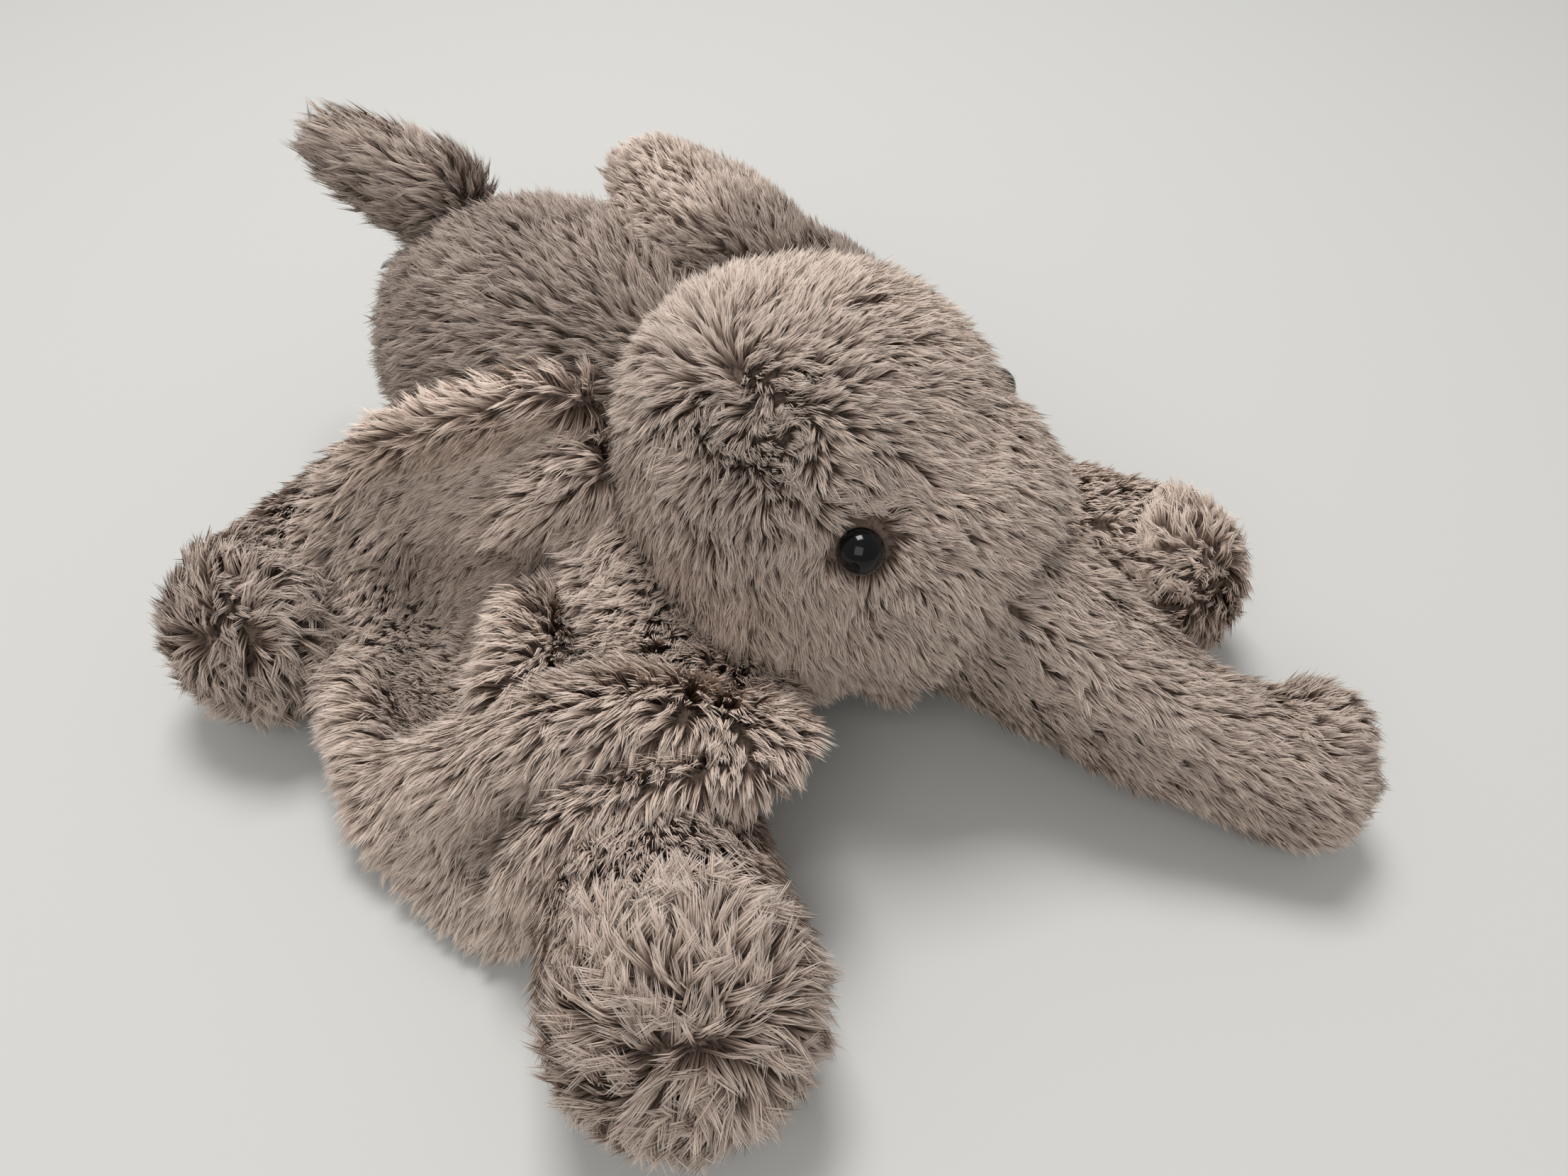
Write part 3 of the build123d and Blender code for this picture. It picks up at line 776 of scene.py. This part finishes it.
ear("right_ear", RIGHT_EAR, RIGHT_FOLDS, (-0.55, -0.15, 0.8), (-0.8, 0.2, -0.5), (-70, -156, 54), (0.25, -0.9, -0.35),
    61, 0.56, 1.8)
# The left ear's tone is set low to offset the painted highlight of the upper edge, which covers most of this ear too;
# where that mask fades, lower down and towards the front, this ear comes out much darker.
ear("left_ear", LEFT_EAR, LEFT_FOLDS, (-0.1, -0.3, 0.95), (0.2, 0.9, 0.3), (22, -10, 104), (-0.8, 0.6, 0),
    65, -0.02, 2.2)


# ---------------------------------------------------------------- eyes
def black_plastic():
    """Polished moulded plastic with a faint ripple in its gloss."""
    material = new_material("black_plastic", 0.08, (0.003, 0.003, 0.003, 1), IOR=1.35)
    shader = material.node_tree.nodes["Principled BSDF"]
    place = add_node(material, "ShaderNodeTexCoord")
    ripple = add_node(material, "ShaderNodeTexNoise")
    ripple.inputs["Scale"].default_value = 160
    link(material, place.outputs["Object"], ripple.inputs["Vector"])
    gloss = add_node(material, "ShaderNodeMapRange")
    gloss.inputs["To Min"].default_value = 0.05
    gloss.inputs["To Max"].default_value = 0.14
    link(material, ripple.outputs["Fac"], gloss.inputs["Value"])
    link(material, gloss.outputs["Result"], shader.inputs["Roughness"])
    return material


def eye(hand, side_name, proud):
    """A black dome with a rounded rim, pressed into the pile."""
    middle, out = eye_place(hand)
    dome = lump((0, 0, 0), EYE + 0.2)
    dome.name = dome.data.name = side_name + "_eye_dome"
    deselect()
    dome.select_set(True)
    bpy.context.view_layer.objects.active = dome
    bpy.ops.object.mode_set(mode="EDIT")
    bpy.ops.mesh.select_all(action="SELECT")
    bpy.ops.mesh.bisect(plane_co=(0, 0, -1.2 * MM), plane_no=(0, 0, 1), use_fill=True, clear_inner=True)
    bpy.ops.mesh.inset(thickness=1.4 * MM)
    bpy.ops.transform.translate(value=(0, 0, -1.4 * MM))
    bpy.ops.object.mode_set(mode="OBJECT")
    apply_modifier(dome, "BEVEL", width=0.5 * MM, segments=3, limit_method="ANGLE", angle_limit=radians(40))
    dome.data.transform(out.to_track_quat("Z", "Y").to_matrix().to_4x4())
    dome.data.transform(Matrix.Translation((middle + out * proud) * MM))
    dome.data.materials.append(BLACK)
    deselect()
    dome.select_set(True)
    bpy.ops.object.shade_smooth()
    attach(dome, "head")
    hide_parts(side_name + "_eye")


BLACK = black_plastic()
for hand, side_name, proud, _ in EYES:
    eye(hand, side_name, proud)


# ---------------------------------------------------------------- the pieces inside
def noisy(name, dark, pale, scale, rough, bump=0.0, stretch=(1, 1, 1)):
    """A finish whose colour and surface vary over the piece: fibre, beads, ribbon or moulded plastic."""
    material = new_material(name, rough)
    shader = material.node_tree.nodes["Principled BSDF"]
    place = add_node(material, "ShaderNodeTexCoord")
    pull = add_node(material, "ShaderNodeMapping")
    pull.inputs["Scale"].default_value = stretch
    link(material, place.outputs["Object"], pull.inputs["Vector"])
    grain = add_node(material, "ShaderNodeTexNoise")
    grain.inputs["Scale"].default_value = scale
    grain.inputs["Detail"].default_value = 6
    link(material, pull.outputs["Vector"], grain.inputs["Vector"])
    ramp = add_node(material, "ShaderNodeValToRGB")
    fill_ramp(ramp, [(0.35, dark), (0.65, pale)])
    link(material, grain.outputs["Fac"], ramp.inputs["Fac"])
    link(material, ramp.outputs["Color"], shader.inputs["Base Color"])
    if bump:
        raised = add_node(material, "ShaderNodeBump")
        raised.inputs["Distance"].default_value = bump * MM
        link(material, grain.outputs["Fac"], raised.inputs["Height"])
        link(material, raised.outputs["Normal"], shader.inputs["Normal"])
    return material


def dress(material, *words):
    """Gives a finish to every inner piece whose name holds one of the words."""
    for node, thing in frame["nodes"].items():
        if any(word in node for word in words):
            for place in thing.material_slots:
                place.material = material


dress(noisy("loose_fibre", srgb(212, 212, 208), srgb(244, 244, 240), 700, 0.95, 0.8, (1, 1, 5)), "stuffing")
dress(noisy("small_beads", srgb(196, 196, 190), srgb(236, 236, 230), 1500, 0.45, 0.6), "pellets")
dress(noisy("bag_lining", srgb(186, 183, 176), srgb(214, 211, 204), 2400, 0.9, 0.1), "pellet_bag")
dress(noisy("washer_plastic", srgb(206, 206, 198), srgb(226, 226, 218), 300, 0.4, 0.05), "washer")
dress(noisy("brown_thread", srgb(74, 60, 52), srgb(118, 98, 86), 3000, 0.8, 0.2, (6, 1, 1)), "stitches")
RIBBON = noisy("satin_ribbon", srgb(186, 196, 206), srgb(226, 231, 236), 1400, 0.35, 0.06, (1, 12, 1))


def label():
    """A folded satin ribbon that lifts a little from the pile, with its two sewn edges."""
    low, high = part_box("rump_label")
    middle = (Vector(low) + Vector(high)) / 2 / MM
    deselect()
    bpy.ops.mesh.primitive_grid_add(x_subdivisions=14, y_subdivisions=12, size=1)
    ribbon = bpy.context.object
    ribbon.name = ribbon.data.name = "rump_label_ribbon"
    apply_place(ribbon)
    across, down = points_of(ribbon)[:, 0] * MM, points_of(ribbon)[:, 1] * MM + 0.5
    lift = 1.5 * np.sin(down * 2.6) + 0.35 * np.exp(-((abs(across) - 0.42) / 0.05) ** 2)
    drop = radians(-38)
    away = 13 * down
    points = np.stack([middle.x + 14 * across, middle.y - 6 + away * cos(drop) - lift * sin(drop),
                       middle.z + 4 + away * sin(drop) + lift * cos(drop)], 1)
    place_points(ribbon, points)
    apply_modifier(ribbon, "SOLIDIFY", thickness=0.7 * MM, offset=0)
    apply_modifier(ribbon, "SUBSURF", levels=2, render_levels=2)
    ribbon.data.materials.append(RIBBON)
    deselect()
    ribbon.select_set(True)
    bpy.context.view_layer.objects.active = ribbon
    bpy.ops.object.shade_smooth()
    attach(ribbon, "torso")
    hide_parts("rump_label")


label()
